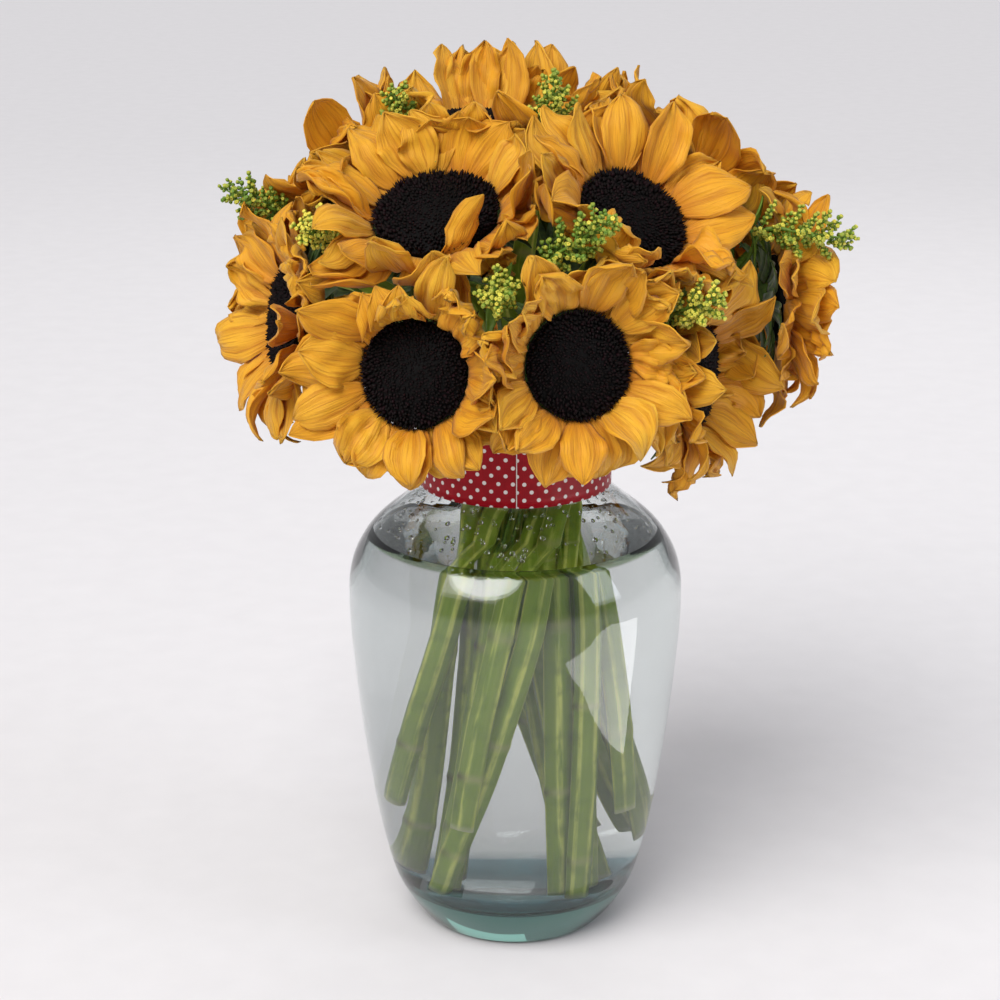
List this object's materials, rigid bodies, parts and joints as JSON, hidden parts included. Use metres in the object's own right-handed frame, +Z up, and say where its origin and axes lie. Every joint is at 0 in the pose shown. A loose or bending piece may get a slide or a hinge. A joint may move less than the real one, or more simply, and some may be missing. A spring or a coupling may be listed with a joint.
{
  "type": "vase of cut flowers",
  "caption": "Urn-shaped clear glass vase of water with a dotted ribbon round its neck, holding a dome of cut sunflowers and goldenrod.",
  "frame": {"origin": "centre of the vase's underside, where it stands", "axes": "+Z up along the vase's axis; -Y towards the side that the picture shows, +X to its right"},
  "size_m": [0.3018, 0.2997, 0.4445],
  "materials": {
    "vase_glass": "clear blown soda-lime glass with a faint blue-green tint",
    "water": "clear water",
    "ribbon": "deep red satin printed with small white dots",
    "ray_petals": "matte orange-yellow petal with fine veins along it",
    "disc_florets": "near-black brown, velvety",
    "stems": "matte yellow-green, ridged along its length",
    "goldenrod": "green-yellow buds and fine stems"
  },
  "bodies": {
    "root": {"goldenrod_01": "goldenrod", "goldenrod_02": "goldenrod", "goldenrod_03": "goldenrod", "goldenrod_04": "goldenrod", "goldenrod_05": "goldenrod", "goldenrod_06": "goldenrod", "goldenrod_07": "goldenrod", "goldenrod_08": "goldenrod", "goldenrod_09": "goldenrod", "goldenrod_10": "goldenrod", "goldenrod_11": "goldenrod", "ribbon_band": "ribbon", "sunflower_01_disc": "disc_florets", "sunflower_01_petals": "ray_petals", "sunflower_01_stem": "stems", "sunflower_02_disc": "disc_florets", "sunflower_02_petals": "ray_petals", "sunflower_02_stem": "stems", "sunflower_03_disc": "disc_florets", "sunflower_03_petals": "ray_petals", "sunflower_03_stem": "stems", "sunflower_04_disc": "disc_florets", "sunflower_04_petals": "ray_petals", "sunflower_04_stem": "stems", "sunflower_05_disc": "disc_florets", "sunflower_05_petals": "ray_petals", "sunflower_05_stem": "stems", "sunflower_06_disc": "disc_florets", "sunflower_06_petals": "ray_petals", "sunflower_06_stem": "stems", "sunflower_07_disc": "disc_florets", "sunflower_07_petals": "ray_petals", "sunflower_07_stem": "stems", "sunflower_08_disc": "disc_florets", "sunflower_08_petals": "ray_petals", "sunflower_08_stem": "stems", "sunflower_09_disc": "disc_florets", "sunflower_09_petals": "ray_petals", "sunflower_09_stem": "stems", "sunflower_10_disc": "disc_florets", "sunflower_10_petals": "ray_petals", "sunflower_10_stem": "stems", "sunflower_11_disc": "disc_florets", "sunflower_11_petals": "ray_petals", "sunflower_11_stem": "stems", "sunflower_12_disc": "disc_florets", "sunflower_12_petals": "ray_petals", "sunflower_12_stem": "stems", "sunflower_13_disc": "disc_florets", "sunflower_13_petals": "ray_petals", "sunflower_13_stem": "stems", "sunflower_14_disc": "disc_florets", "sunflower_14_petals": "ray_petals", "sunflower_14_stem": "stems", "sunflower_15_disc": "disc_florets", "sunflower_15_petals": "ray_petals", "sunflower_15_stem": "stems", "vase_glass": "vase_glass", "vase_water": "water"}
  },
  "joints": []
}
